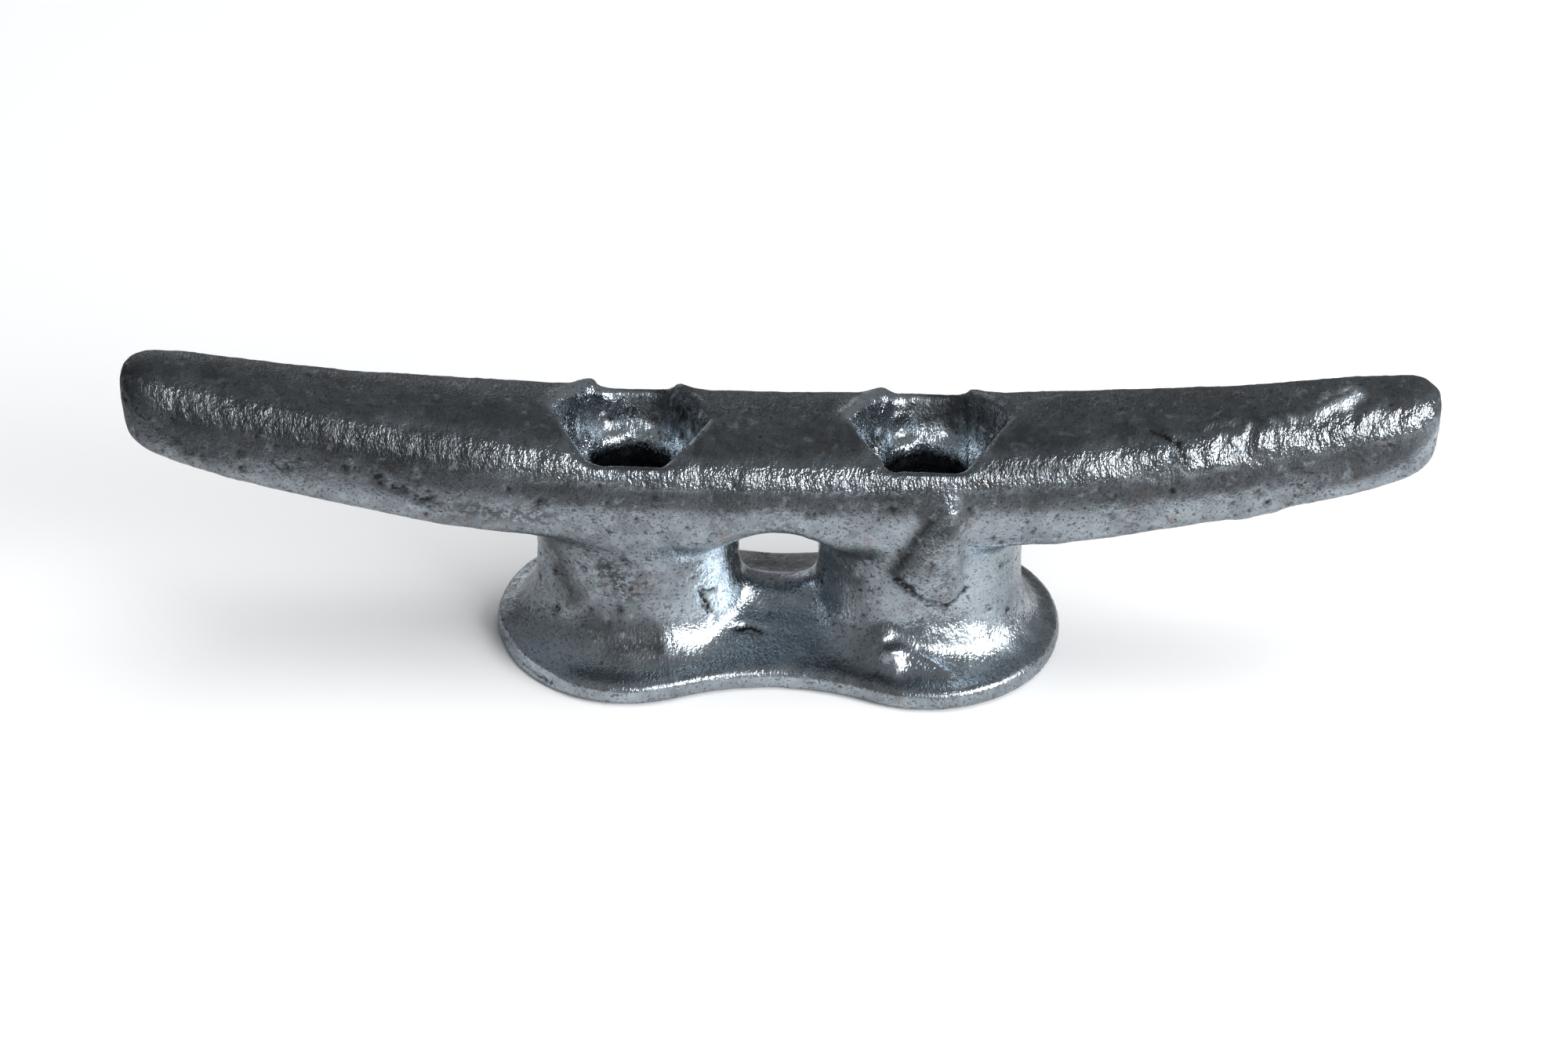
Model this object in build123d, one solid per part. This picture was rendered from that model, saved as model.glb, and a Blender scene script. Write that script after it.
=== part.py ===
from build123d import *
import math
import os

os.makedirs("parts", exist_ok=True)

# An open-base dock cleat: one iron casting with two horns, two posts and a dog-bone base.
# Millimetres, +X along the horns, +Z up. The origin is the centre of the underside of the base.
# The mould parts on the plane y = 0, so every face leans a little away from that plane.

# Horn bar
LENGTH = 203.0          # tip to tip: an 8 inch cleat
BAR_WIDTH = 25.9        # at the middle of the bar
TIP_WIDTH = 13.6
BAR_TOP = 40.6          # crown line at the middle
TIP_TOP = 50.3
BAR_BOTTOM = 22.2
TIP_BOTTOM = 36.5
# Powers of the share of the way out to a tip: the higher, the nearer the tip the change comes.
WIDTH_POWER = 2.0
TOP_POWER = 1.74
BOTTOM_POWER = 2.25
TIP_LEAN = 5.0          # degrees that the top of each end face overhangs its foot
# The round at a tip: its length along the horn, and how much it takes off the sides, top and bottom.
TIP_ROUND_LENGTH = 5.5
TIP_ROUND_SIDES = 4.6
TIP_ROUND_TOP = 4.3
TIP_ROUND_BOTTOM = 1.0
TIP_ROUND_TURNS = (0, 22, 43, 62, 78, 89)       # degrees round the edge of an end face
MOULD_DRAFT = 0.07      # how much of its height the bar loses from the parting plane to its sides
# Squareness of the section: 2 is an oval, and more is squarer. The lower edges are the sharper.
BAR_SQUARENESS = {"upper": 3.7, "lower": 7.0}
TIP_SQUARENESS = {"upper": 2.7, "lower": 3.8}
# Where the section is widest, as a share of its height.
BAR_WIDEST = 0.37
TIP_WIDEST = 0.24
SECTION_POINTS = 28
BAR_STATIONS = (-1, -0.8, -0.55, -0.28, 0, 0.28, 0.55, 0.8, 1)      # shares of the way to a tip
END_FACE_HEIGHT = TIP_TOP - TIP_ROUND_TOP - TIP_BOTTOM - TIP_ROUND_BOTTOM
# How far the top of a leaning end face stands out past its widest height.
TIP_OVERHANG = END_FACE_HEIGHT * (1 - TIP_WIDEST) * math.tan(math.radians(TIP_LEAN))
HALF_LENGTH = LENGTH / 2 - TIP_OVERHANG

# Bolt holes and the pockets for their hexagonal heads
HOLE_SPACING = 45.7
HOLE_DIAMETER = 12.5
POCKET_FLOOR = 31.5     # height of the seat under the bolt head
POCKET_TOP_FLATS = 21.4     # across flats, level with the crown line
POCKET_FLOOR_FLATS = 15.6   # across flats at the seat
SEAT_DISH = 1.2         # depth of the cone that leads from the seat into the hole

# Base plate
LOBE_SPACING = 46.8
LOBE_RADIUS = 21.1
WAIST_HALF_WIDTH = 16.2
PLATE_THICKNESS = 3.8
PLATE_ROUND = 1.2

# Posts
POST_CENTRE = 22.1      # from the middle of the cleat
POST_HALF_LENGTH = 16.0
POST_HALF_WIDTH = 11.5
# Height, and how far the post spreads across the cleat there, beyond its shaft.
POST_SPREAD = (
    (PLATE_THICKNESS - 0.6, 8.2),
    (PLATE_THICKNESS + 0.8, 4.6),
    (6.8, 1.9),
    (9.5, 0.5),
    (13.5, 0),
    (19.0, 0),
    (BAR_BOTTOM, 0.5),
    (BAR_BOTTOM + 4, 0.5),
)
SPREAD_ALONG = 0.55     # share of that spread which goes along the cleat
SPREAD_OUTWARD = 0.1    # share of it by which the foot moves towards the tip

# The web between the posts, and the window over it
WEB_TOP = 9.7           # ridge of the web, on the parting plane
WEB_SHOULDER = 0.65     # share of that height left half-way down to the waist
WINDOW_HALF_SPAN = 6.3  # of the round bottom of the window
WINDOW_ROUND_HEIGHT = 3.6   # from the lowest point of that round to its widest
SADDLE_HALF_WIDTH = 5.0     # of the metal that runs from the web up the posts' inner sides
ARCH_TOP_INSIDE = 24.2  # crown of the window on the parting plane
ARCH_TOP_OUTSIDE = 27.6     # crown of the window at the bar's faces
ARCH_SPAN = 19.0        # where the arch meets the underside of the bar, inside the posts
ARCH_FOOT = 3.0         # how far the arch's cut goes on below the bar

OVERCUT = 1.0           # how far a cutting body passes the face that it opens
SIDES = (-1, 1)


def mix(start, end, share):
    return start + (end - start) * share


def squared(value, squareness):
    """A cosine or sine pushed out towards a square, which turns an oval into a rounded box."""
    return math.copysign(abs(value) ** (2 / squareness), value)


def bar_section(share, rounded=0.0):
    """A cross-section of the bar, at a share from -1 (left tip) to 1 (right tip).

    The tip's round takes a share of its full amounts off it, from 0 to 1.
    """
    out = abs(share)
    width = mix(BAR_WIDTH, TIP_WIDTH, out**WIDTH_POWER) - 2 * rounded * TIP_ROUND_SIDES
    top = mix(BAR_TOP, TIP_TOP, out**TOP_POWER) - rounded * TIP_ROUND_TOP
    bottom = mix(BAR_BOTTOM, TIP_BOTTOM, out**BOTTOM_POWER) + rounded * TIP_ROUND_BOTTOM
    lean = math.radians(TIP_LEAN) * share * out
    widest = mix(bottom, top, mix(BAR_WIDEST, TIP_WIDEST, out))
    reach = {"upper": top - widest, "lower": widest - bottom}
    plane = Plane(
        origin=(share * HALF_LENGTH, 0, widest),
        x_dir=(0, 1, 0),
        z_dir=(math.cos(lean), 0, -math.sin(lean)),
    )
    points = []
    for step in range(SECTION_POINTS):
        turn = 2 * math.pi * (step + 0.5) / SECTION_POINTS
        part = "upper" if math.sin(turn) > 0 else "lower"
        squareness = mix(BAR_SQUARENESS[part], TIP_SQUARENESS[part], out)
        across = squared(math.cos(turn), squareness)
        up = squared(math.sin(turn), squareness) * (1 - MOULD_DRAFT * across**2)
        points.append((across * width / 2, up * reach[part]))
    with BuildSketch(plane) as sketch:
        with BuildLine():
            Spline(*points, periodic=True)
        make_face()
    return sketch.sketch


def horn_bar():
    """Both horns in one loft, and a rounded end on each."""
    start = 1 - TIP_ROUND_LENGTH / HALF_LENGTH
    shape = loft([bar_section(start * station) for station in BAR_STATIONS])
    for side in SIDES:
        rings = []
        for turn in map(math.radians, TIP_ROUND_TURNS):
            share = start + (1 - start) * math.sin(turn)
            rings.append(bar_section(side * share, 1 - math.cos(turn)))
        shape += loft(rings)
    return shape


def arch_section(y, crown):
    """The window's arched top in an upright plane: an arc over a square foot."""
    plane = Plane(origin=(0, y, 0), x_dir=(1, 0, 0), z_dir=(0, -1, 0))
    half = ARCH_SPAN / 2
    with BuildSketch(plane) as sketch:
        with BuildLine():
            ThreePointArc((-half, BAR_BOTTOM), (0, crown), (half, BAR_BOTTOM))
            Polyline(
                (half, BAR_BOTTOM),
                (half, BAR_BOTTOM - ARCH_FOOT),
                (-half, BAR_BOTTOM - ARCH_FOOT),
                (-half, BAR_BOTTOM),
            )
        make_face()
    return sketch.sketch


def window_arch(side):
    """Half of the hollow in the bar's underside, rising from the parting plane to one face."""
    outside = side * (BAR_WIDTH / 2 + OVERCUT)
    sections = [arch_section(0, ARCH_TOP_INSIDE), arch_section(outside, ARCH_TOP_OUTSIDE)]
    return loft(sections, ruled=True)


def base_plate():
    """A round lobe about each bolt hole, joined by two hollow arcs that are tangent to both."""
    centre = LOBE_SPACING / 2
    hollow = (centre**2 + WAIST_HALF_WIDTH**2 - LOBE_RADIUS**2) / (
        2 * (LOBE_RADIUS - WAIST_HALF_WIDTH)
    )
    away = WAIST_HALF_WIDTH + hollow
    touch = LOBE_RADIUS / (LOBE_RADIUS + hollow)
    with BuildSketch() as outline:
        with Locations((-centre, 0), (centre, 0)):
            Circle(LOBE_RADIUS)
        Rectangle(2 * centre * (1 - touch), 2 * away * touch)
        with Locations((0, -away), (0, away)):
            Circle(hollow, mode=Mode.SUBTRACT)
    plate = extrude(outline.sketch, amount=PLATE_THICKNESS)
    return fillet(plate.faces().sort_by(Axis.Z)[-1].edges(), PLATE_ROUND)


def post(side):
    """One column: ovals that spread at the foot, over the plate, and a little under the bar."""
    sections = []
    for height, spread in POST_SPREAD:
        with BuildSketch(Plane.XY.offset(height)) as oval:
            with Locations((side * (POST_CENTRE + SPREAD_OUTWARD * spread), 0)):
                Ellipse(POST_HALF_LENGTH + SPREAD_ALONG * spread, POST_HALF_WIDTH + spread)
        sections.append(oval.sketch)
    return loft(sections)


def web():
    """The wall between the posts, sloping from its ridge to the edges of the waist."""
    foot = WAIST_HALF_WIDTH - PLATE_ROUND
    shoulder = WEB_TOP * WEB_SHOULDER
    with BuildSketch(Plane.YZ.offset(-POST_CENTRE)) as profile:
        with BuildLine():
            Polyline((-foot, 0), (-foot, PLATE_THICKNESS))
            ThreePointArc((-foot, PLATE_THICKNESS), (-foot / 2, shoulder), (0, WEB_TOP))
            ThreePointArc((0, WEB_TOP), (foot / 2, shoulder), (foot, PLATE_THICKNESS))
            Polyline((foot, PLATE_THICKNESS), (foot, 0), (-foot, 0))
        make_face()
    return extrude(profile.sketch, amount=2 * POST_CENTRE)


def saddle():
    """Metal on the web's ridge that curves up the posts, which makes the window's bottom round."""
    widest = WEB_TOP + WINDOW_ROUND_HEIGHT
    foot = WEB_TOP * WEB_SHOULDER
    end = 2 * WINDOW_HALF_SPAN
    with BuildSketch(Plane.YZ.offset(-end)) as profile:
        with BuildLine():
            Polyline((-SADDLE_HALF_WIDTH, foot), (0, widest), (SADDLE_HALF_WIDTH, foot), close=True)
        make_face()
    with BuildSketch(Plane.XZ.offset(-SADDLE_HALF_WIDTH - OVERCUT)) as opening:
        with Locations((0, widest)):
            Ellipse(WINDOW_HALF_SPAN, WINDOW_ROUND_HEIGHT)
    cut = extrude(opening.sketch, amount=2 * (SADDLE_HALF_WIDTH + OVERCUT))
    return extrude(profile.sketch, amount=2 * end) - cut


def head_pocket(side):
    """A hexagonal pocket with leaning walls, its corners pointing along the bar."""
    above = 3 * OVERCUT
    lean = (POCKET_TOP_FLATS - POCKET_FLOOR_FLATS) / (BAR_TOP - POCKET_FLOOR)
    levels = (
        (POCKET_FLOOR, POCKET_FLOOR_FLATS),
        (BAR_TOP + above, POCKET_TOP_FLATS + lean * above),
    )
    sections = []
    for height, flats in levels:
        with BuildSketch(Plane.XY.offset(height)) as hexagon:
            with Locations((side * HOLE_SPACING / 2, 0)):
                RegularPolygon(flats / 2, 6, major_radius=False)
        sections.append(hexagon.sketch)
    return loft(sections, ruled=True)


def bolt_hole(side):
    """A through hole with a shallow cone under the bolt head."""
    centre = side * HOLE_SPACING / 2
    length = POCKET_FLOOR + 2 * OVERCUT
    drill = Pos(centre, 0, POCKET_FLOOR / 2) * Cylinder(HOLE_DIAMETER / 2, length)
    cone = Cone(HOLE_DIAMETER / 2, HOLE_DIAMETER / 2 + SEAT_DISH, SEAT_DISH)
    return drill + Pos(centre, 0, POCKET_FLOOR - SEAT_DISH / 2) * cone


casting = horn_bar() - window_arch(-1) - window_arch(1)
casting += base_plate()
casting += web()
casting += saddle()
for side in SIDES:
    casting += post(side)
for side in SIDES:
    casting -= head_pocket(side)
    casting -= bolt_hole(side)

export_step(casting, "parts/cleat_casting.step")
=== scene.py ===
import math

import bmesh
import bpy
import numpy as np
from mathutils import Matrix, Vector, noise


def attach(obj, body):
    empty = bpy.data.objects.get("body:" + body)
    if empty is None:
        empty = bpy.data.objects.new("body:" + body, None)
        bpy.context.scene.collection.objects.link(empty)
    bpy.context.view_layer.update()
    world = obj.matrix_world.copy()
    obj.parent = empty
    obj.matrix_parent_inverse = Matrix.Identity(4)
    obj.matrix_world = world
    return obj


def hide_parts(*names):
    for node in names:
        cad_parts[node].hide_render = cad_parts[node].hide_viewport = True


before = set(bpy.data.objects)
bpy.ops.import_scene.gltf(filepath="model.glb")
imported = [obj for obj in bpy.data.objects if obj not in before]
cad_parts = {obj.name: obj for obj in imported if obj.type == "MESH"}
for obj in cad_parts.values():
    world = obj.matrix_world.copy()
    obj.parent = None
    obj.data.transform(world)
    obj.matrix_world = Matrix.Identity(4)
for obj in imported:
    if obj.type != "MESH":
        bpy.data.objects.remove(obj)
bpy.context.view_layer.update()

# Sizes and places are in the frame's own axes: +X along the horns to the right, -Y towards the
# photographed side, +Z up from the base. They are in millimetres unless a comment says otherwise.
MM = 0.001
NODE = "cleat_casting"
SIDES = (-1, 1)
VOXEL = 0.56                # size of the quads in the casting's skin
PLATE_THICKNESS = 3.8
BAR_FOOT = 27.0             # the bar's sides start about here, above the posts
SEAT_HEIGHT = 31.5          # floor of the pockets for the bolt heads
POCKET_RIM = 40.0           # height of the pockets' rims
POCKET_X = 22.85            # from the middle of the cleat to the middle of a pocket
POCKET_HALF_WIDTH = 9.5
HOLE_RIM_RADIUS = 6.5
# Corners of a pocket's rim: how far out along the cleat from the pocket's middle, and its y and z.
POCKET_BACK_CORNER = (6.4, 10.6, 41.2)
POCKET_SIDE_CORNER = (12.4, 0.5, 41.5)

# The studio: places and sizes in metres, colours as linear red, green, blue and alpha.
FLOOR_HALF_WIDTH = 1.3
FLOOR_SEEN = (0.90, 0.905, 0.91, 1)
# The metal mirrors the floor as pale out to the first distance and as dull from the second on.
FLOOR_MIRRORED_NEAR = (0.76, 0.765, 0.77, 1)
FLOOR_MIRRORED_FAR = (0.145, 0.15, 0.155, 1)
FLOOR_FADE = (0.060, 0.115)
FLOOR_FADE_ALONG = 0.45     # how much a distance along the cleat counts in that
ROOM_SEEN = (0.93, 0.935, 0.94, 1)
ROOM_GREYS = ((0.08, 0.20), (0.30, 0.215), (0.84, 0.215), (0.96, 0.22))     # (sine of elevation, grey)
ROOM_TINT = (1, 1.03, 1.06)
LIGHTS_AIM = (0, 0, 0.02)
# Name, place, size, power in watts, and whether the metal mirrors it.
SOFT_BOXES = (
    ("key_right", (0.56, -0.37, 0.38), (0.50, 0.40), 5.6, True),
    ("front_box", (0.48, -0.88, 0.53), (0.66, 0.46), 2.7, True),
    ("floor_fill", (0.20, 0.25, 1.60), (1.6, 1.6), 21.0, False),
    ("back_fill", (-0.5, 1.3, 0.30), (0.7, 0.4), 1.1, True),
)

# The zinc's colours, linear, with those of its painted shade and painted highlights.
DULL_PATCH = (0.22, 0.243, 0.265, 1)
PALE_PATCH = (0.34, 0.38, 0.415, 1)
CRYSTAL = (0.52, 0.575, 0.625, 1)
RUST_TINT = (0.27, 0.225, 0.215, 1)
PAINTED_SHADE = (0.052, 0.053, 0.055, 1)
HIGHLIGHT_AND_FRESH_ZINC = (0.61, 0.69, 0.75, 1)
DIRT_AND_SHADE = (0.035, 0.035, 0.038, 1)

# The stub of the feeder: the corners of its broken face and lip, those sunk in the right post, and
# the box round it: its middle and half size along x and z, and its back.
STUB_FACE = (
    (26.2, -12.9, 34.6), (27.6, -13.1, 33.4), (26.2, -14.0, 31.2), (27.6, -14.2, 30.4),
    (28.9, -13.8, 22.0), (29.4, -13.2, 17.8), (20.4, -14.6, 20.6), (20.4, -15.0, 19.2),
    (22.8, -15.4, 16.8), (26.2, -15.3, 15.8), (28.6, -14.2, 16.8),
)
STUB_ROOT = ((23.6, -12.3, 33.0), (16.8, -11.2, 21.2), (28.0, -9.0, 18.0), (25.0, -9.0, 17.0))
STUB_X, STUB_HALF_WIDTH = 23.5, 7.5
STUB_Z, STUB_HALF_HEIGHT = 24.0, 10.5
STUB_BACK_Y = -9.5

# Marks on the casting, as runs laid on its surface: (start, end, radius, strength). The strength
# is in millimetres for lumps and cracks, and a share from 0 to 1 for the others.
LUMPS = (
    ((82.1, -4.2, 46.4), (88.0, -1.1, 47.6), 1.4, 1.0),         # bright lump near the right tip
    ((66.0, -4.6, 44.2), (69.5, -4.4, 44.8), 0.9, 0.45),        # right horn's shoulder
    ((72.0, -4.8, 44.8), (79.0, -4.6, 46.0), 1.2, 0.40),
    ((60.2, -6.5, 42.8), (63.0, -9.5, 39.5), 1.2, 0.45),        # beside the right horn's crack
    ((71.5, -7.0, 29.4), (75.5, -6.5, 30.6), 2.2, 0.80),        # drip under the right horn
    ((16.3, -12.4, 7.6), (17.4, -13.6, 5.8), 1.5, 1.10),        # runs on the right foot
    ((17.8, -14.2, 5.6), (19.0, -15.2, 4.7), 1.4, 0.80),
    ((19.6, -13.8, 6.3), (27.2, -16.6, 4.6), 1.3, 0.70),
    ((24.0, -12.6, 8.8), (31.5, -12.0, 8.8), 2.4, 0.40),
    ((-43.0, -7.5, 2.0), (-36.0, -16.5, 2.0), 3.2, -0.90),      # flat on the base's left end
)
CRACKS = (
    ((-12.3, -8.9, 14.4), (-11.6, -8.8, 12.2), 0.50, 0.32),     # forked crack on the left post
    ((-11.6, -8.8, 12.2), (-10.7, -8.5, 9.3), 0.50, 0.34),
    ((-11.8, -8.7, 13.6), (-9.7, -7.4, 13.0), 0.45, 0.24),
    ((57.1, -5.5, 43.4), (60.6, -7.5, 42.7), 0.45, 0.40),       # crack over the right horn
    ((60.6, -7.5, 42.7), (62.5, -9.4, 40.4), 0.50, 0.45),
    ((-6.3, -8.2, 6.0), (-4.2, -7.9, 6.2), 0.50, 0.45),         # short fold at the foot of the web
    ((-4.2, -7.9, 6.2), (-2.3, -8.7, 5.9), 0.50, 0.45),
    ((18.4, -11.6, 18.2), (22.6, -11.8, 15.2), 0.70, 0.40),     # crease under the stub's lip, darkened as a painted shadow under it
    ((22.6, -11.8, 15.2), (26.4, -11.6, 14.0), 0.75, 0.50),
    ((26.4, -11.6, 14.0), (29.2, -10.4, 16.0), 0.60, 0.35),
    ((-61.8, -10.4, 35.2), (-60.9, -10.4, 35.4), 0.50, 0.30),   # pits in the left horn's side
    ((-61.4, -10.4, 34.0), (-60.6, -10.4, 34.2), 0.45, 0.30),
    ((-58.9, -10.0, 33.6), (-57.8, -10.2, 33.2), 0.50, 0.40),
    ((-57.4, -10.0, 33.9), (-56.9, -10.2, 32.8), 0.50, 0.35),
    ((-55.6, -10.2, 32.0), (-54.4, -10.3, 31.4), 0.50, 0.40),
    ((-54.2, -10.2, 31.6), (-52.8, -10.3, 32.2), 0.45, 0.35),
)
# Painted shade: a dark, dull colour laid where the bright metal should mirror little light.
PAINTED_SHADE_RUNS = (
    ((-104.0, -2.0, 38.0), (-104.0, -2.0, 48.0), 9.0, 1.0),     # left tip: painted shade
    ((-92.0, -8.0, 44.0), (-48.0, -12.0, 38.5), 7.0, 0.8),      # painted shade on the left horn's shoulder
    ((-38.0, -12.0, 6.0), (-30.0, -12.5, 7.0), 4.0, 0.30),      # painted shade on the left foot
    ((-29.0, -12.0, 7.5), (-18.0, -13.2, 7.0), 3.6, 1.0),
    ((-36.0, -6.5, 22.0), (-32.0, -9.8, 12.0), 2.4, 0.8),       # painted shade on the left side of the left post
    ((-12.5, 1.5, 38.5), (-18.5, 8.5, 37.0), 3.4, 1.0),         # painted shade on the right walls of the pockets
    ((25.5, 8.5, 37.5), (33.0, 1.5, 38.5), 4.2, 1.0),
    ((32.5, -10.2, 39.0), (43.5, -10.2, 39.2), 1.2, 0.8),       # streak right of the right pocket
    ((24.6, -13.4, 32.6), (18.2, -13.2, 21.4), 1.3, 1.0),       # painted shade on the left side of the stub
    ((-5.0, 9.0, 6.0), (5.0, 9.0, 6.0), 7.0, 0.9),              # painted shade on the base behind the window
    ((10.5, -7.0, 23.0), (13.5, -11.5, 8.0), 3.2, 0.75),        # painted shade on the left side of the right post
)
# Painted highlights: a brighter zinc colour where the bright metal should mirror the lamps.
PAINTED_HIGHLIGHTS = (
    ((22.0, -13.5, 7.0), (36.0, -10.0, 6.5), 4.8, 1.0),         # painted highlight on the right foot
    ((37.0, -9.0, 6.5), (41.0, -3.0, 5.5), 3.2, 0.8),
    ((31.0, -10.5, 10.0), (33.5, -9.0, 20.0), 6.5, 0.65),       # painted light on the right side of the right post
    ((-38.0, -13.0, 5.0), (-22.0, -17.5, 4.5), 4.5, 0.9),       # painted highlight on the front of the left foot
    ((-6.0, -9.5, 5.5), (6.0, -8.5, 5.5), 8.0, 1.0),            # painted highlight on the base's waist
    ((102.0, -5.0, 42.0), (102.0, -4.0, 46.0), 4.0, 0.6),       # painted highlight on the right tip
    ((82.1, -4.9, 46.4), (88.0, -1.1, 47.6), 1.3, 1.0),         # painted highlight on the lump near it
)
# Painted shadow beside the left edge of the bright run on the left post's foot.
SHADOW_BY_FLARE = (
    ((-25.0, -14.2, 6.0), (-18.3, -14.0, 6.1), 2.2, 0.8),
    ((-18.5, -12.8, 7.0), (-17.2, -10.8, 8.6), 1.6, 0.6),
)
SPECKED = (
    ((-26.0, -9.5, 20.0), (-23.5, -9.8, 15.0), 2.8, 1.0),       # left post
    ((-62.0, -10.4, 35.0), (-52.0, -10.3, 31.5), 1.4, 0.8),     # left horn's side
    ((-48.0, -11.0, 30.5), (-36.0, -11.5, 29.5), 2.2, 0.8),
    ((-2.0, -12.0, 29.0), (2.0, -12.0, 29.0), 2.2, 0.5),        # over the window
    ((24.0, -14.5, 24.0), (27.0, -13.5, 19.0), 2.2, 0.5),       # face of the stub
)


# ---------------------------------------------------------------- shader nodes

class Nodes:
    """Short names for the few kinds of shader node that the materials use."""

    def __init__(self, material):
        material.use_nodes = True
        self.tree = material.node_tree
        self.shader = self.tree.nodes["Principled BSDF"]
        self.place = self.tree.nodes.new("ShaderNodeTexCoord").outputs["Object"]

    def link(self, source, target):
        """Links a socket to another, or sets a plain value on it."""
        if hasattr(source, "links"):
            self.tree.links.new(source, target)
        else:
            target.default_value = source

    def noise(self, wavelength, detail=2.0, roughness=0.5, stretch=(1, 1, 1), shift=0.0):
        """Noise from 0 to 1 with bumps about a wavelength (mm) apart."""
        mapping = self.tree.nodes.new("ShaderNodeMapping")
        self.link(self.place, mapping.inputs["Vector"])
        mapping.inputs["Scale"].default_value = [1 / (wavelength * MM * part) for part in stretch]
        mapping.inputs["Location"].default_value = (shift, shift, shift)
        texture = self.tree.nodes.new("ShaderNodeTexNoise")
        texture.inputs["Scale"].default_value = 1.0
        texture.inputs["Detail"].default_value = detail
        texture.inputs["Roughness"].default_value = roughness
        self.link(mapping.outputs["Vector"], texture.inputs["Vector"])
        return texture.outputs["Fac"]

    def cells(self, wavelength):
        """A random value from 0 to 1 for each crystal, about a wavelength (mm) across."""
        texture = self.tree.nodes.new("ShaderNodeTexVoronoi")
        texture.inputs["Scale"].default_value = 1 / (wavelength * MM)
        self.link(self.place, texture.inputs["Vector"])
        channels = self.tree.nodes.new("ShaderNodeSeparateColor")
        self.link(texture.outputs["Color"], channels.inputs["Color"])
        return channels.outputs["Red"]

    def ramp(self, value, low, high, start=0.0, end=1.0):
        """Takes low..high to start..end, smoothly, and holds the ends."""
        node = self.tree.nodes.new("ShaderNodeMapRange")
        node.interpolation_type = "SMOOTHSTEP"
        self.link(value, node.inputs["Value"])
        for name, number in (("From Min", low), ("From Max", high), ("To Min", start), ("To Max", end)):
            node.inputs[name].default_value = number
        return node.outputs["Result"]

    def math(self, operation, first, second):
        node = self.tree.nodes.new("ShaderNodeMath")
        node.operation = operation
        self.link(first, node.inputs[0])
        self.link(second, node.inputs[1])
        return node.outputs["Value"]

    def times(self, first, second):
        return self.math("MULTIPLY", first, second)

    def plus(self, first, second):
        return self.math("ADD", first, second)

    def larger(self, first, second):
        return self.math("MAXIMUM", first, second)

    def mix(self, share, first, second):
        """The first colour where the share is 0, and the second where it is 1."""
        node = self.tree.nodes.new("ShaderNodeMix")
        node.data_type = "RGBA"
        colours = [socket for socket in node.inputs if socket.type == "RGBA"]
        self.link(share, node.inputs["Factor"])
        self.link(first, colours[0])
        self.link(second, colours[1])
        return next(socket for socket in node.outputs if socket.type == "RGBA")

    def attribute(self, name):
        """A value that was written on the mesh's points."""
        node = self.tree.nodes.new("ShaderNodeAttribute")
        node.attribute_name = name
        return node.outputs["Fac"]

    def bump(self, height, depth, under=None):
        """Adds a height from 0 to 1, depth mm high, to the surface's normal or to the one under it."""
        node = self.tree.nodes.new("ShaderNodeBump")
        node.inputs["Strength"].default_value = 1.0
        node.inputs["Distance"].default_value = depth * MM
        self.link(height, node.inputs["Height"])
        if under:
            self.link(under, node.inputs["Normal"])
        return node.outputs["Normal"]


# ---------------------------------------------------------------- camera, floor and light

def make_camera():
    """A long lens looking down at the cleat from the front, its right end a little nearer."""
    elevation, azimuth, roll = map(math.radians, (36.0, -1.28, 0.40))
    distance = 0.798        # metres, from the lens to where it aims
    aim_height, aim_right, aim_down = 22, 0.81, 0.91
    forward = Vector((
        math.sin(azimuth) * math.cos(elevation),
        math.cos(azimuth) * math.cos(elevation),
        -math.sin(elevation),
    ))
    level = Vector((math.cos(azimuth), -math.sin(azimuth), 0))
    upright = level.cross(forward)
    right = math.cos(roll) * level + math.sin(roll) * upright
    up = right.cross(forward)
    aim = Vector((0, 0, aim_height * MM)) + right * aim_right * MM - up * aim_down * MM
    camera = bpy.data.objects.new("camera", bpy.data.cameras.new("camera"))
    camera.data.lens = 117.3
    camera.data.sensor_width = 36.0
    camera.data.clip_start = 0.01
    basis = Matrix((right, up, -forward)).transposed()
    camera.matrix_world = Matrix.Translation(aim - forward * distance) @ basis.to_4x4()
    bpy.context.scene.collection.objects.link(camera)
    bpy.context.scene.camera = camera


def area_light(name, place, size, power, mirrored):
    """A soft box turned to the cleat."""
    lamp = bpy.data.lights.new(name, "AREA")
    lamp.shape = "RECTANGLE"
    lamp.size, lamp.size_y = size
    lamp.energy = power
    piece = bpy.data.objects.new(name, lamp)
    piece.location = place
    look = Vector(LIGHTS_AIM) - Vector(place)
    piece.rotation_euler = look.to_track_quat("-Z", "Y").to_euler()
    piece.visible_glossy = mirrored
    bpy.context.scene.collection.objects.link(piece)


def floor_paint():
    """Pale all over, but the metal mirrors it as a pale oval under the cleat and dull beyond."""
    paint = bpy.data.materials.new("pale_floor")
    nodes = Nodes(paint)
    squeezed = nodes.tree.nodes.new("ShaderNodeMapping")
    squeezed.inputs["Scale"].default_value = (FLOOR_FADE_ALONG, 1, 1)
    nodes.link(nodes.place, squeezed.inputs["Vector"])
    away = nodes.tree.nodes.new("ShaderNodeVectorMath")
    away.operation = "LENGTH"
    nodes.link(squeezed.outputs["Vector"], away.inputs[0])
    share = nodes.ramp(away.outputs["Value"], *FLOOR_FADE)
    mirrored = nodes.mix(share, FLOOR_MIRRORED_NEAR, FLOOR_MIRRORED_FAR)
    seen = nodes.tree.nodes.new("ShaderNodeLightPath").outputs["Is Camera Ray"]
    nodes.link(nodes.mix(seen, mirrored, FLOOR_SEEN), nodes.shader.inputs["Base Color"])
    nodes.shader.inputs["Roughness"].default_value = 0.8
    nodes.shader.inputs["Specular IOR Level"].default_value = 0.2
    return paint


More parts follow.
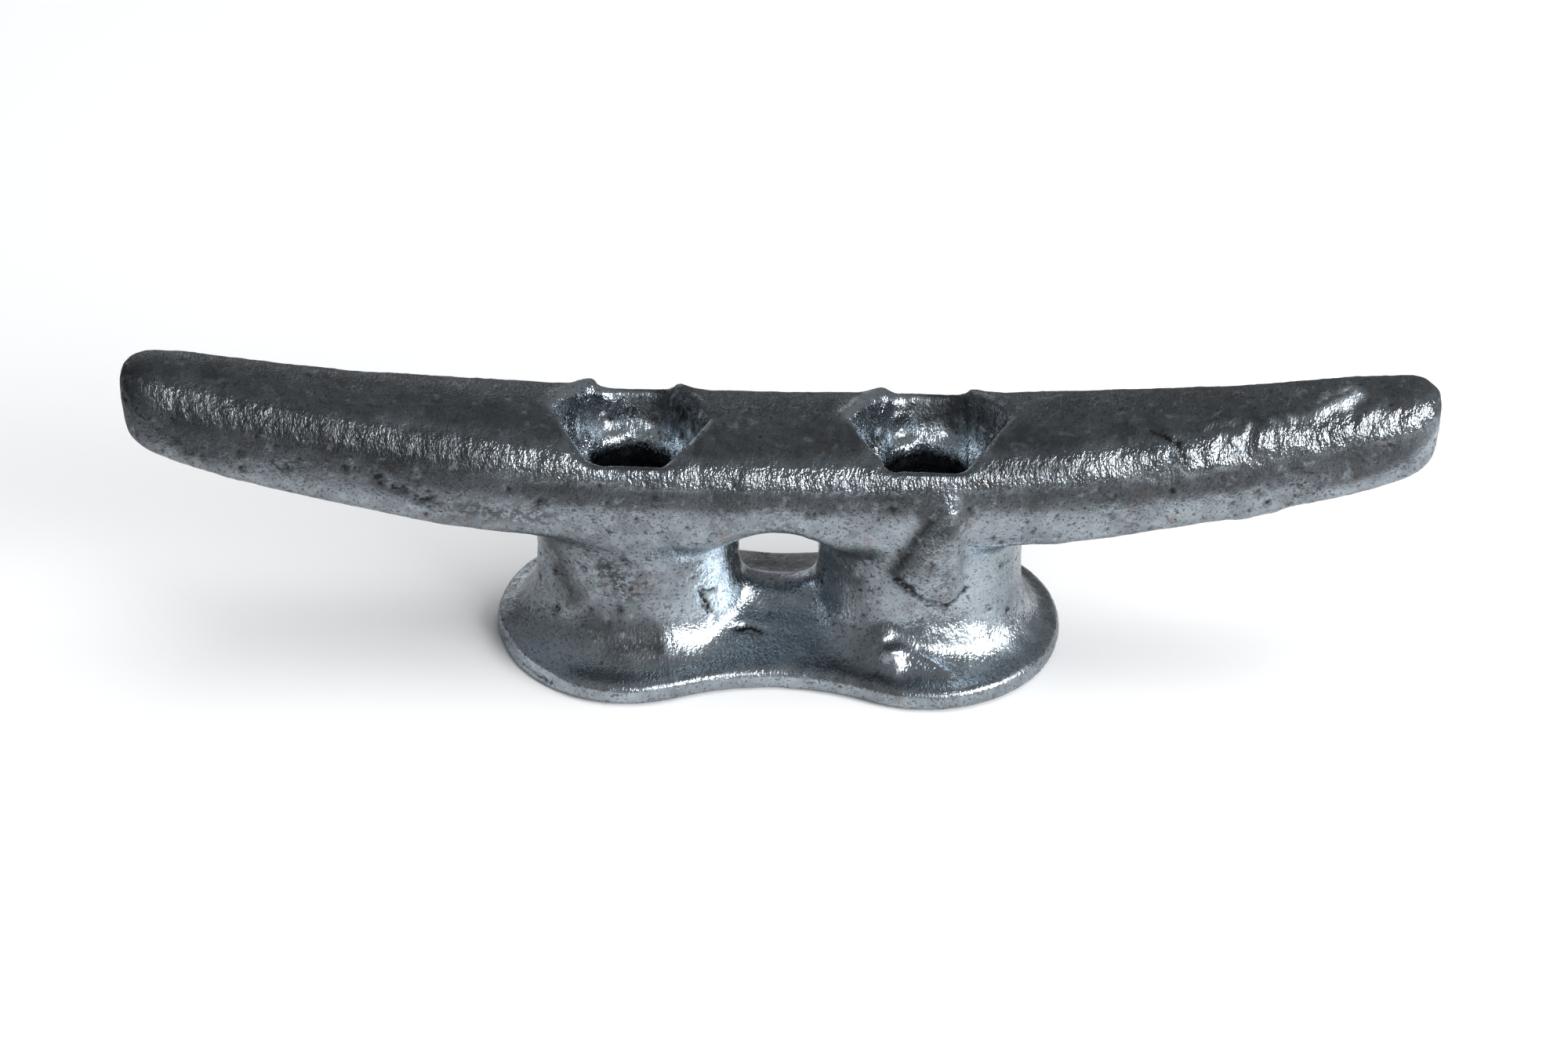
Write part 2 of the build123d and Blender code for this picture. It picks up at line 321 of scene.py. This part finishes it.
def studio_walls():
    """A dim grey room in the metal's mirror, a touch lighter overhead; behind the cleat it shows pale."""
    world = bpy.data.worlds.new("studio")
    world.use_nodes = True
    tree = world.node_tree
    direction = tree.nodes.new("ShaderNodeTexCoord").outputs["Generated"]
    height = tree.nodes.new("ShaderNodeSeparateXYZ")
    tree.links.new(direction, height.inputs["Vector"])
    grade = tree.nodes.new("ShaderNodeValToRGB")
    stops = grade.color_ramp.elements
    while len(stops) < len(ROOM_GREYS):
        stops.new(0.5)
    for stop, (place, grey) in zip(stops, ROOM_GREYS):
        stop.position = place
        stop.color = (*(grey * part for part in ROOM_TINT), 1)
    tree.links.new(height.outputs["Z"], grade.inputs["Fac"])
    seen = tree.nodes.new("ShaderNodeLightPath").outputs["Is Camera Ray"]
    shown = tree.nodes.new("ShaderNodeMixRGB")
    shown.inputs["Color2"].default_value = ROOM_SEEN
    tree.links.new(seen, shown.inputs["Fac"])
    tree.links.new(grade.outputs["Color"], shown.inputs["Color1"])
    tree.links.new(shown.outputs["Color"], tree.nodes["Background"].inputs["Color"])
    bpy.context.scene.world = world


def make_studio():
    """A pale floor and soft boxes in a grey room, as the bright metal mirrors them."""
    mesh = bpy.data.meshes.new("floor")
    far = FLOOR_HALF_WIDTH
    mesh.from_pydata([(-far, -far, 0), (far, -far, 0), (far, far, 0), (-far, far, 0)], [], [(0, 1, 2, 3)])
    floor = bpy.data.objects.new("floor", mesh)
    bpy.context.scene.collection.objects.link(floor)
    mesh.materials.append(floor_paint())

    studio_walls()
    for soft_box in SOFT_BOXES:
        area_light(*soft_box)
    bpy.context.scene.view_settings.view_transform = "Standard"


# ---------------------------------------------------------------- mesh helpers

def vertex_array(mesh, layer="vertices", attribute="co"):
    values = np.empty(len(mesh.vertices) * 3)
    getattr(mesh, layer).foreach_get(attribute, values)
    return values.reshape(-1, 3)


def write_vertices(mesh, points):
    mesh.vertices.foreach_set("co", points.ravel())
    mesh.update()


def write_attribute(mesh, name, values):
    mesh.attributes.new(name, "FLOAT", "POINT").data.foreach_set("value", values)


def edge_array(mesh):
    values = np.empty(len(mesh.edges) * 2, dtype=np.int64)
    mesh.edges.foreach_get("vertices", values)
    return values.reshape(-1, 2)


def remeshed(mesh, name):
    """A new mesh with the same shape as an even skin of small quads."""
    piece = bpy.data.objects.new(name, mesh)
    bpy.context.scene.collection.objects.link(piece)
    modifier = piece.modifiers.new("skin", "REMESH")
    modifier.mode = "VOXEL"
    modifier.voxel_size = VOXEL * MM
    depsgraph = bpy.context.evaluated_depsgraph_get()
    skin = bpy.data.meshes.new_from_object(piece.evaluated_get(depsgraph))
    bpy.data.objects.remove(piece)
    return skin


def relax(points, edges, weight, rounds):
    """Moves each point part of the way to its neighbours' mean, so that corners become fillets."""
    count = len(points)
    first, second = edges[:, 0], edges[:, 1]
    degree = np.bincount(first, minlength=count) + np.bincount(second, minlength=count)
    for _ in range(rounds):
        mean = np.empty_like(points)
        for axis in range(3):
            total = np.bincount(first, points[second, axis], count)
            total += np.bincount(second, points[first, axis], count)
            mean[:, axis] = total / degree
        points = points + weight[:, None] * (mean - points)
    return points


def rising(value, low, high):
    """0 up to low, 1 from high on, and a smooth step between them."""
    share = np.clip((value - low) / (high - low), 0, 1)
    return share * share * (3 - 2 * share)


def falling(value, low, high):
    """1 up to low, 0 from high on, and a smooth step between them."""
    return 1 - rising(value, low, high)


def bumps(points, wavelength, seed, stretch=(1, 1, 1)):
    """Noise from about -1 to 1 at each point, its bumps about a wavelength apart."""
    shift_per_seed = 17.3
    places = points / (wavelength * np.array(stretch)) + shift_per_seed * seed
    return np.array([noise.noise(Vector(place)) for place in places])


def laid_on(points, start, end):
    """A run from start to end laid on the surface, as a row of its nearest points."""
    longest_step = 1.5
    start, end = np.array(start), np.array(end)
    steps = 1 + math.ceil(np.linalg.norm(end - start) / longest_step)
    row = [start + (end - start) * step / steps for step in range(steps + 1)]
    return [points[np.argmin(((points - place) ** 2).sum(1))] for place in row]


def ridge(points, start, end, radius):
    """1 on a run laid on the surface, falling smoothly to 0 about two radii away from it."""
    row = laid_on(points, start, end)
    nearest = np.full(len(points), np.inf)
    for first, second in zip(row, row[1:]):
        run = second - first
        share = np.clip((points - first) @ run / max(run @ run, 1e-9), 0, 1)
        nearest = np.minimum(nearest, ((points - first - share[:, None] * run) ** 2).sum(1))
    return np.exp(-nearest / radius**2)


def strongest(points, runs):
    """The strongest of several runs on the surface, each given as (start, end, radius, strength)."""
    total = np.zeros(len(points))
    for start, end, radius, strength in runs:
        total = np.maximum(total, strength * ridge(points, start, end, radius))
    return total


# ---------------------------------------------------------------- the shape of the casting

def near_pocket(points, margin):
    """1 in a bolt-head pocket, falling to 0 a margin outside its edges."""
    x, y, _ = np.abs(points).T
    outside = np.maximum(np.abs(x - POCKET_X), y) - POCKET_HALF_WIDTH
    return falling(outside, 0, margin)


def from_bolt_line(points):
    """How far each place is from the axis of the bolt hole on its own side."""
    return np.hypot(np.abs(points[:, 0]) - POCKET_X, points[:, 1])


def on_bar(points):
    return rising(points[:, 2], BAR_FOOT, BAR_FOOT + 3)


def fillet_weight(points):
    """How much each place is rounded: most where posts, web and bar run into each other."""
    x, _, z = points.T
    low = falling(z, 28, 31) * falling(np.abs(x), 40, 43) * rising(z, PLATE_THICKNESS, 6)
    hole_rim = falling(np.abs(from_bolt_line(points) - HOLE_RIM_RADIUS), 0.8, 1.8)
    hole_rim *= rising(z, SEAT_HEIGHT - 4.5, SEAT_HEIGHT - 2.5)
    hole_rim *= falling(z, SEAT_HEIGHT + 1.5, SEAT_HEIGHT + 2.5)
    pocket_rim = near_pocket(points, 1.5) * rising(z, SEAT_HEIGHT + 1.5, SEAT_HEIGHT + 4.5)
    return 0.08 + 0.42 * low + 0.22 * pocket_rim + 0.40 * hole_rim


def add_gate_stub(mesh):
    """The stub of the casting's feeder, broken off on the right post: a wedge with a thick lower lip."""
    shape = bmesh.new()
    shape.from_mesh(mesh)
    corners = [shape.verts.new(Vector(place) * MM) for place in STUB_FACE + STUB_ROOT]
    bmesh.ops.convex_hull(shape, input=corners)
    shape.to_mesh(mesh)
    shape.free()


def stub_weight(points):
    """How much each place is rounded once the stub is on: a little everywhere, more round its edges."""
    x, y, z = points.T
    beside = np.abs(x - STUB_X) - STUB_HALF_WIDTH
    above = np.abs(z - STUB_Z) - STUB_HALF_HEIGHT
    outside = np.maximum(beside, np.maximum(y - STUB_BACK_Y, above))
    return 0.15 + 0.40 * falling(outside, 0, 1.5)


def rim_corners(side, end):
    """The back and side corners of a head pocket's rim, at its left (-1) or right (1) end."""
    back = (side * POCKET_X + end * POCKET_BACK_CORNER[0], *POCKET_BACK_CORNER[1:])
    beside = (side * POCKET_X + end * POCKET_SIDE_CORNER[0], *POCKET_SIDE_CORNER[1:])
    return back, beside


def flare_run(points):
    """A run of zinc on the left post's foot, with a sharp left edge: raised a little, and painted bright
    as a painted highlight.
    """
    near = ridge(points, (-14.5, -12.0, 6.5), (-8.0, -7.5, 9.0), 5.0)
    return near * rising(points[:, 0] + 0.35 * points[:, 2], -15.6, -14.9)


def runs_and_lumps(points):
    """Zinc that set in drips, lumps, pocket rims and a bead round each seat, and the base's flat."""
    rise = np.zeros(len(points))
    for start, end, radius, height in LUMPS:
        rise += height * ridge(points, start, end, radius)
    for side, tall in ((-1, 0.75), (1, 0.6)):
        for end, radius, share in ((-1, 1.2, 0.9), (1, 0.9, 0.6)):
            back, beside = rim_corners(side, end)
            rise += tall * ridge(points, back, back, 2.3)
            rise += share * tall * ridge(points, back, beside, radius)
    bead_radius, bead_width = 7.6, 0.9
    bead = np.exp(-(((from_bolt_line(points) - bead_radius) / bead_width) ** 2))
    _, y, z = points.T
    bead *= rising(z, SEAT_HEIGHT - 2.5, SEAT_HEIGHT - 1.5) * falling(z, SEAT_HEIGHT + 2, SEAT_HEIGHT + 3)
    return rise + 0.35 * bead * rising(y, -2, 1)


def scatter_pits(depth, points, chance, candidates, count, widest, steepness):
    """Sinks round pits at random candidates, each with a radius up to the widest."""
    for centre in points[chance.choice(candidates, count)]:
        radius = chance.uniform(0.4, widest)
        near = np.flatnonzero(np.abs(points - centre).max(1) < 3 * radius)
        away = np.linalg.norm(points[near] - centre, axis=1)
        depth[near] = np.maximum(depth[near], steepness * radius * np.exp(-((away / radius) ** 2)))


def cracks_and_pits(points, normals):
    """How deep the surface is broken: the cracks and pits at known places, and scattered pits."""
    depth = strongest(points, CRACKS)
    x, _, z = points.T
    upright = (np.abs(normals[:, 2]) < 0.45) & (z > 5)
    left_post_face = (np.abs(x + 25) < 3.2) & (np.abs(z - 17.5) < 3.6) & (normals[:, 1] < -0.8)
    chance = np.random.default_rng(8)
    scatter_pits(depth, points, chance, np.flatnonzero(upright), 260, widest=0.7, steepness=0.45)
    scatter_pits(depth, points, chance, np.flatnonzero(left_post_face), 25, widest=0.55, steepness=0.5)
    return depth


def shoulder_weight(points, normals):
    """1 on the bar's rough shoulders, and less on their back."""
    slope = rising(normals[:, 2], 0.15, 0.40) * falling(normals[:, 2], 0.74, 0.90)
    return on_bar(points) * slope * (1 - 0.6 * rising(points[:, 1], 0, 4))


def roughness_of_cast(points, normals):
    """How far the sand and the zinc leave each place above or below the smooth shape."""
    x, y, z = points.T
    shoulder = shoulder_weight(points, normals)
    pocket = near_pocket(points, 1.5) * rising(z, SEAT_HEIGHT - 1.5, SEAT_HEIGHT - 0.5)
    pocket *= falling(z, POCKET_RIM - 0.4, POCKET_RIM + 0.4)
    # Bumps from the broadest to the finest; the fine ones are stretched across the cleat and upwards.
    height = 0.22 * bumps(points, 17, 1) + 0.12 * bumps(points, 7, 2)
    height += (0.06 + 0.05 * shoulder + 0.10 * pocket) * bumps(points, 3.2, 3)
    height += (0.05 + 0.11 * shoulder + 0.07 * pocket) * bumps(points, 1.6, 4, (0.7, 1.2, 1.5))
    height += (0.02 + 0.09 * shoulder) * bumps(points, 1.1, 6, (0.7, 1.2, 1.6))
    # The right horn's shoulder is folded, with sharp crests.
    folded = rising(x, 50, 62) * on_bar(points) * rising(-y, -3, 4) * rising(normals[:, 2], 0.05, 0.35)
    crests = 1 - 2 * np.abs(bumps(points, 3.6, 5, (0.8, 1.3, 1.3)))
    height += 0.42 * folded * (crests - 0.5)
    return height * (1 - 0.5 * falling(z, 4.2, 7))


# ---------------------------------------------------------------- where its zinc differs, and where shade and highlights are painted

def painted_shade_of_zinc(points, normals):
    """Painted shade: a dark, dull colour where the bright metal should mirror little light: at places, on
    top of the bar, and as a painted dark reflection just under its shoulders.
    """
    slope = normals[:, 2]
    # A painted dark reflection in a band just under the bar's shoulders, and painted shade on the bar's
    # top.
    under_shoulder = on_bar(points) * rising(slope, 0.02, 0.09) * falling(slope, 0.18, 0.32)
    top = on_bar(points) * rising(slope, 0.80, 0.92) * (1 - near_pocket(points, 1.0))
    dark = np.maximum(strongest(points, PAINTED_SHADE_RUNS), np.maximum(0.7 * under_shoulder, 0.6 * top))
    return dark * (1 - flare_run(points))


def highlights_and_fresh_zinc(points):
    """Painted highlights: a brighter zinc colour at places, on the seats, on the pockets' left walls and
    rim corners, and on the left foot's raised run of zinc.
    """
    _, y, z = points.T
    in_pocket = rising(z, SEAT_HEIGHT - 1, SEAT_HEIGHT) * falling(z, POCKET_RIM - 0.5, POCKET_RIM + 0.5)
    seat = rising(y, -1, 1) * falling(from_bolt_line(points), 8.2, 9.2)
    seat *= falling(z, SEAT_HEIGHT + 1.5, SEAT_HEIGHT + 3)
    bright = np.maximum(strongest(points, PAINTED_HIGHLIGHTS), in_pocket * seat)
    for side in SIDES:
        middle = side * POCKET_X
        wall = ridge(points, (middle - 8.6, 2.0, 37.5), (middle - 4.5, 8.5, 38.0), 3.2)
        bright = np.maximum(bright, in_pocket * wall)
        bright = np.maximum(bright, ridge(points, *rim_corners(side, -1), 1.4))
    return np.maximum(bright, flare_run(points))


# ---------------------------------------------------------------- the casting

def casting_skin():
    """The casting with its fillets and stub, as an even skin: its mesh and its points in millimetres."""
    mesh = remeshed(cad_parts[NODE].data.copy(), "smooth_casting")
    points = vertex_array(mesh) / MM
    write_vertices(mesh, relax(points, edge_array(mesh), fillet_weight(points), 40) * MM)
    add_gate_stub(mesh)
    mesh = remeshed(mesh, "casting_with_stub")
    points = vertex_array(mesh) / MM
    points = relax(points, edge_array(mesh), stub_weight(points), 10)
    write_vertices(mesh, points * MM)
    return mesh, points


def make_casting():
    mesh, points = casting_skin()
    normals = vertex_array(mesh, "vertex_normals", "vector")
    depth = cracks_and_pits(points, normals)
    height = roughness_of_cast(points, normals) + runs_and_lumps(points) - depth
    height += 0.25 * flare_run(points)
    above_underside = rising(points[:, 2], 0.2, 1.2)
    points = points + (height * above_underside)[:, None] * normals
    write_vertices(mesh, points * MM)

    # Grimy cracks and pits with painted shade in them, and a painted shadow beside the left foot's bright
    # run.
    beside_flare = strongest(points, SHADOW_BY_FLARE) * (1 - flare_run(points))
    write_attribute(mesh, "grime_and_shade", np.maximum(rising(depth, 0.05, 0.2), beside_flare))
    write_attribute(mesh, "shoulder", shoulder_weight(points, normals))
    write_attribute(mesh, "painted_shade", painted_shade_of_zinc(points, normals))
    write_attribute(mesh, "highlight_and_gloss", highlights_and_fresh_zinc(points))
    write_attribute(mesh, "specked", strongest(points, SPECKED))
    for polygon in mesh.polygons:
        polygon.use_smooth = True
    mesh.materials.clear()
    piece = bpy.data.objects.new("galvanised_casting", mesh)
    bpy.context.scene.collection.objects.link(piece)
    return piece


# ---------------------------------------------------------------- zinc

def zinc_dirt_and_shade(nodes):
    """How dark each place is with ash specks, alone or in crowds, and with grimy cracks and pits that
    also carry painted shade, and a painted shadow beside the left foot's bright run.
    """
    ash = nodes.ramp(nodes.noise(0.9, 3, 0.7, (1.2, 1.2, 0.8), 9.0), 0.57, 0.64)
    clusters = nodes.ramp(nodes.noise(6.5, 3, 0.6, shift=13.0), 0.38, 0.60)
    pepper = nodes.ramp(nodes.noise(0.45, 2, 0.6, shift=43.0), 0.575, 0.635, 0.0, 0.75)
    crowd = nodes.ramp(nodes.noise(0.8, 3, 0.7, (1.4, 1, 1), 51.0), 0.47, 0.53)
    crowd = nodes.times(crowd, nodes.attribute("specked"))
    specks = nodes.larger(nodes.times(ash, clusters), nodes.larger(pepper, crowd))
    broken = nodes.ramp(nodes.noise(0.7, 2, 0.6, shift=17.0), 0.36, 0.52, 0.35, 1.0)
    return nodes.larger(nodes.times(specks, 0.75), nodes.times(nodes.attribute("grime_and_shade"), broken))


def zinc_colour(nodes, bright, dirt_and_shade):
    """Blue-grey crystals in dull and pale patches, then rust tints, painted shade, painted highlights,
    and ash specks and grimy cracks with painted shade.
    """
    patches = nodes.ramp(nodes.noise(9, 4, 0.65), 0.36, 0.64)
    colour = nodes.mix(patches, DULL_PATCH, PALE_PATCH)
    crystals = nodes.ramp(nodes.cells(1.3), 0.3, 1.0, 0.0, 0.30)
    colour = nodes.mix(crystals, colour, CRYSTAL)
    rust = nodes.ramp(nodes.noise(3.2, 3, 0.6, shift=4.0), 0.58, 0.72, 0.0, 0.6)
    colour = nodes.mix(rust, colour, RUST_TINT)
    blotches = nodes.ramp(nodes.noise(2.0, 3, 0.6), 0.27, 0.45)
    # Painted shade, broken into blotches.
    painted_shade = nodes.times(nodes.times(nodes.attribute("painted_shade"), blotches), 0.93)
    colour = nodes.mix(painted_shade, colour, PAINTED_SHADE)
    # Painted highlights.
    colour = nodes.mix(bright, colour, HIGHLIGHT_AND_FRESH_ZINC)
    # Ash specks and grimy cracks, with painted shade in the cracks and pits and a painted shadow beside
    # the left foot's run.
    return nodes.mix(dirt_and_shade, colour, DIRT_AND_SHADE)


def zinc_roughness(nodes, bright, dirt_and_shade):
    """Uneven, duller on the painted shade, the specks and the cracks, and sleeker under the painted
    highlights and on the shoulders.
    """
    uneven = nodes.ramp(nodes.noise(4.5, 3, 0.6, shift=21.0), 0.35, 0.68, 0.20, 0.36)
    matt = nodes.times(nodes.attribute("painted_shade"), 0.22)
    worn = nodes.plus(nodes.plus(uneven, matt), nodes.times(dirt_and_shade, 0.3))
    sleek = nodes.plus(bright, nodes.times(nodes.attribute("shoulder"), 0.6))
    return nodes.math("SUBTRACT", worn, nodes.times(sleek, 0.1))


def zinc_grain(nodes):
    """The surface's normal with grain that is too fine for the mesh, sharper on the shoulders."""
    sharpness = nodes.ramp(nodes.attribute("shoulder"), 0.0, 1.0, 0.6, 1.5)
    grains = nodes.times(nodes.noise(0.8, 2, 0.65, (0.7, 1.1, 1.5), 31.0), sharpness)
    return nodes.bump(nodes.noise(0.35, 1, 0.5, shift=37.0), 0.05, nodes.bump(grains, 0.22))


def galvanised():
    """Hot-dip zinc: the one material of the whole casting."""
    material = bpy.data.materials.new("hot_dip_zinc")
    nodes = Nodes(material)
    # Painted highlights, where the zinc is also glossier.
    bright = nodes.times(nodes.attribute("highlight_and_gloss"), 0.8)
    dirt_and_shade = zinc_dirt_and_shade(nodes)
    nodes.link(zinc_colour(nodes, bright, dirt_and_shade), nodes.shader.inputs["Base Color"])
    nodes.shader.inputs["Metallic"].default_value = 1.0
    nodes.link(zinc_roughness(nodes, bright, dirt_and_shade), nodes.shader.inputs["Roughness"])
    nodes.link(zinc_grain(nodes), nodes.shader.inputs["Normal"])
    return material


make_camera()
make_studio()
casting = make_casting()
casting.data.materials.append(galvanised())
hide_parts(NODE)
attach(casting, "root")
